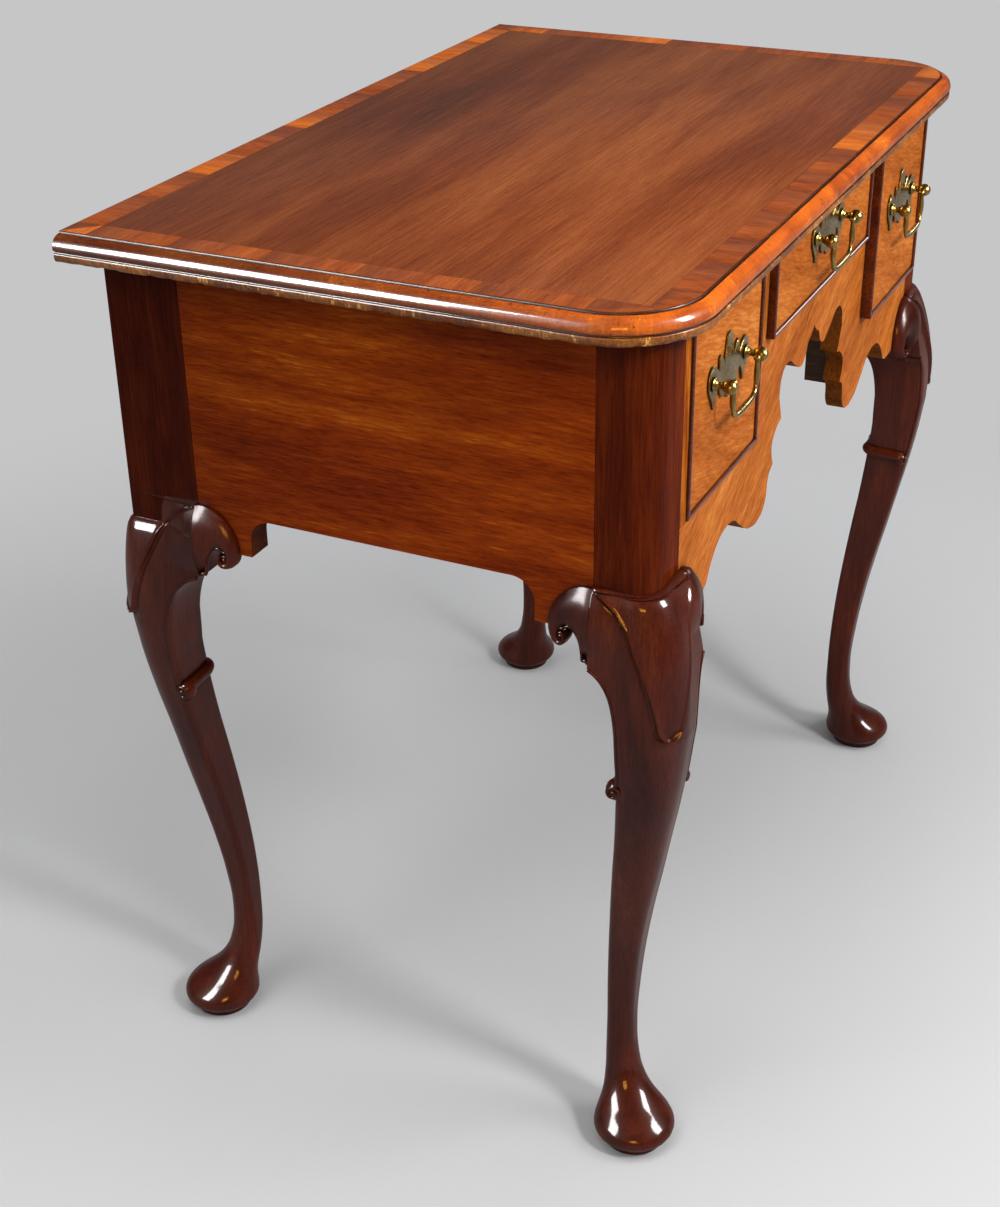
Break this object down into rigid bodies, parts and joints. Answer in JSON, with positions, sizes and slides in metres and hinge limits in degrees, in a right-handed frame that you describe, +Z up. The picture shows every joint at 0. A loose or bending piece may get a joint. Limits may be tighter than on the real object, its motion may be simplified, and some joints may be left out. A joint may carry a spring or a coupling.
{
  "type": "lowboy",
  "caption": "Small dressing table with a moulded top, a row of beaded drawers over a shaped apron, brass drop handles, and cabriole legs with carved knees and pad feet.",
  "frame": {"origin": "on the floor, under the middle of the whole", "axes": "+X to the right along the front, +Y to the back, +Z up; the drawers face -Y"},
  "size_m": [0.742, 0.475, 0.715],
  "materials": {
    "top_veneer": "polished walnut veneer",
    "front_veneer": "polished figured walnut veneer",
    "case_walnut": "polished walnut",
    "leg_walnut": "dark polished walnut",
    "inner_wood": "unpolished oak or pine",
    "aged_brass": "aged brass"
  },
  "bodies": {
    "carcass": {"top_board": "top_veneer", "leg_front_left": "leg_walnut", "leg_front_right": "leg_walnut", "leg_back_left": "leg_walnut", "leg_back_right": "leg_walnut", "ear_end_front_left": "leg_walnut", "ear_front_left": "leg_walnut", "ear_end_front_right": "leg_walnut", "ear_front_right": "leg_walnut", "ear_end_back_left": "leg_walnut", "ear_end_back_right": "leg_walnut", "end_panel_left": "case_walnut", "end_panel_right": "case_walnut", "back_board": "inner_wood", "front_apron": "front_veneer", "apron_block_left": "inner_wood", "apron_block_right": "inner_wood", "drawer_divider_left": "front_veneer", "front_stile_left": "front_veneer", "drawer_divider_right": "front_veneer", "front_stile_right": "front_veneer", "runner_left_outer": "inner_wood", "runner_left_inner": "inner_wood", "runner_centre_left": "inner_wood", "runner_centre_right": "inner_wood", "runner_right_inner": "inner_wood", "runner_right_outer": "inner_wood"},
    "drawer_left": {"drawer_left_front": "front_veneer", "drawer_left_cockbead": "front_veneer", "drawer_left_side_left": "inner_wood", "drawer_left_side_right": "inner_wood", "drawer_left_back": "inner_wood", "drawer_left_bottom": "inner_wood", "handle_left_plate": "aged_brass", "handle_left_post_left": "aged_brass", "handle_left_post_right": "aged_brass"},
    "bail_left": {"handle_left_bail": "aged_brass"},
    "drawer_centre": {"drawer_centre_front": "front_veneer", "drawer_centre_cockbead": "front_veneer", "drawer_centre_side_left": "inner_wood", "drawer_centre_side_right": "inner_wood", "drawer_centre_back": "inner_wood", "drawer_centre_bottom": "inner_wood", "handle_centre_plate": "aged_brass", "handle_centre_post_left": "aged_brass", "handle_centre_post_right": "aged_brass"},
    "bail_centre": {"handle_centre_bail": "aged_brass"},
    "drawer_right": {"drawer_right_front": "front_veneer", "drawer_right_cockbead": "front_veneer", "drawer_right_side_left": "inner_wood", "drawer_right_side_right": "inner_wood", "drawer_right_back": "inner_wood", "drawer_right_bottom": "inner_wood", "handle_right_plate": "aged_brass", "handle_right_post_left": "aged_brass", "handle_right_post_right": "aged_brass"},
    "bail_right": {"handle_right_bail": "aged_brass"}
  },
  "joints": [
    {"name": "drawer_left_slide", "type": "slide", "parent": "carcass", "child": "drawer_left", "axis": [0, -1, 0], "range_m": [0, 0.27]},
    {"name": "bail_left_hinge", "type": "hinge", "parent": "drawer_left", "child": "bail_left", "pos_m": [-0.215, -0.22455, 0.63], "axis": [-1, 0, 0], "range_deg": [-15, 85]},
    {"name": "drawer_centre_slide", "type": "slide", "parent": "carcass", "child": "drawer_centre", "axis": [0, -1, 0], "range_m": [-0.004, 0.266]},
    {"name": "bail_centre_hinge", "type": "hinge", "parent": "drawer_centre", "child": "bail_centre", "pos_m": [0, -0.22855, 0.668], "axis": [-1, 0, 0], "range_deg": [-15, 85]},
    {"name": "drawer_right_slide", "type": "slide", "parent": "carcass", "child": "drawer_right", "axis": [0, -1, 0], "range_m": [-0.0075, 0.2625]},
    {"name": "bail_right_hinge", "type": "hinge", "parent": "drawer_right", "child": "bail_right", "pos_m": [0.215, -0.23205, 0.63], "axis": [-1, 0, 0], "range_deg": [-15, 85]}
  ]
}
